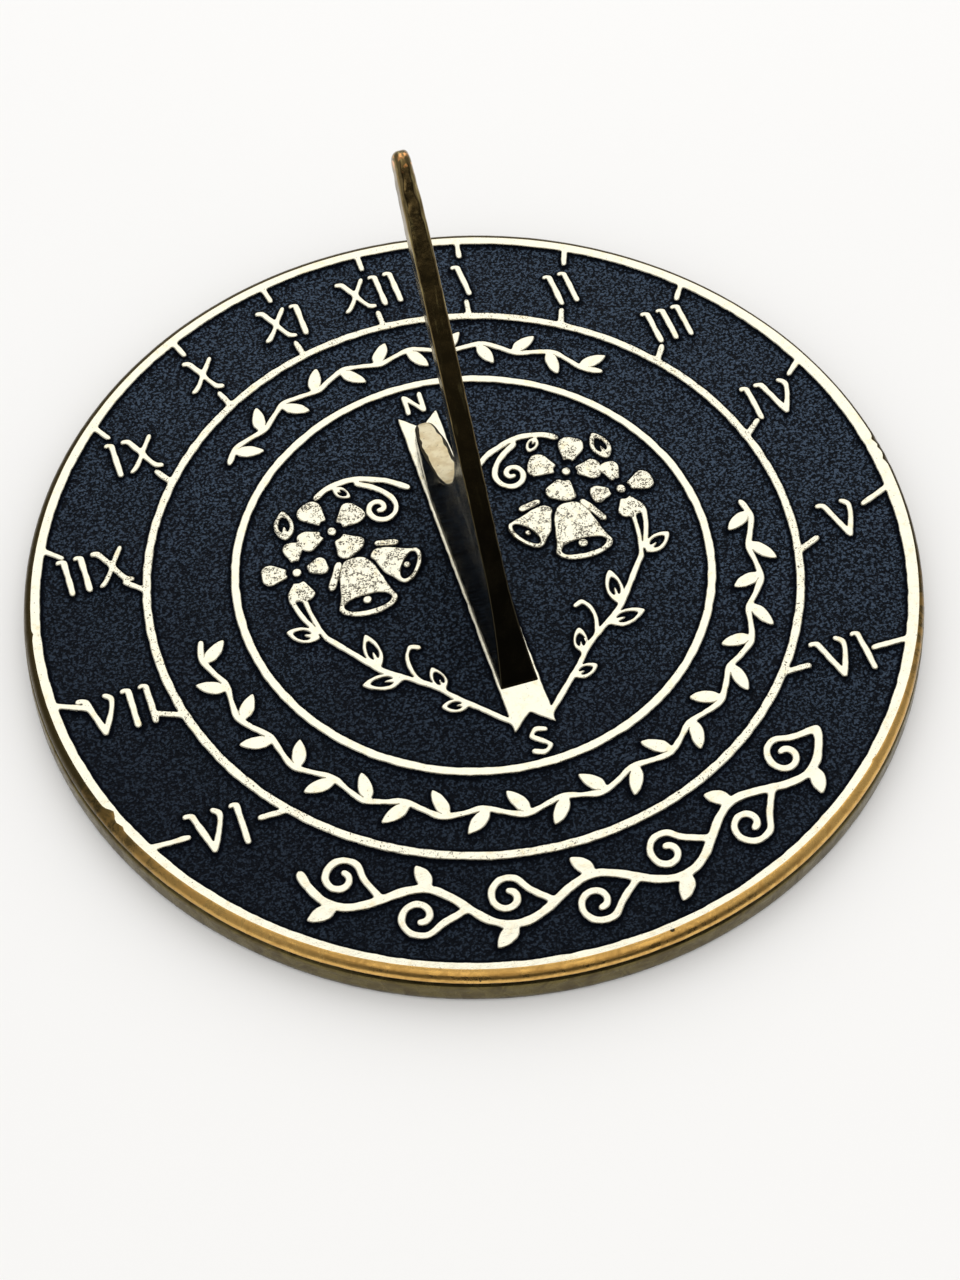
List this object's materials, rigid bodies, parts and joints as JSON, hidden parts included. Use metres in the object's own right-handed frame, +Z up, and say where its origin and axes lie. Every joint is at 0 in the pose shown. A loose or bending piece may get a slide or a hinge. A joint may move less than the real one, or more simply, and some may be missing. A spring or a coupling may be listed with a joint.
{
  "type": "garden sundial",
  "caption": "Round cast brass horizontal sundial with raised Roman hours, rings, leaf borders, bell-and-flower sprays and a fin gnomon fixed by screws from beneath.",
  "frame": {"origin": "middle of the dial plate's underside, on the surface it rests on", "axes": "+Z up out of the dial face, +Y north towards XII, +X east towards the afternoon hours"},
  "size_m": [0.22, 0.22, 0.098],
  "materials": {
    "relief_brass": "cast brass, raised work and rim polished, underside as cast",
    "field_enamel": "dark blue enamel over sand-cast brass, in the recesses of the dial plate",
    "gnomon_brass": "cast brass, sides and style face polished, back edge as cast",
    "fixing_steel": "plain zinc-plated steel"
  },
  "bodies": {
    "root": {"dial_plate": "relief_brass", "gnomon": "gnomon_brass", "gnomon_screw_south": "fixing_steel", "gnomon_screw_north": "fixing_steel", "gnomon_washer_south": "fixing_steel", "gnomon_washer_north": "fixing_steel"}
  },
  "joints": []
}
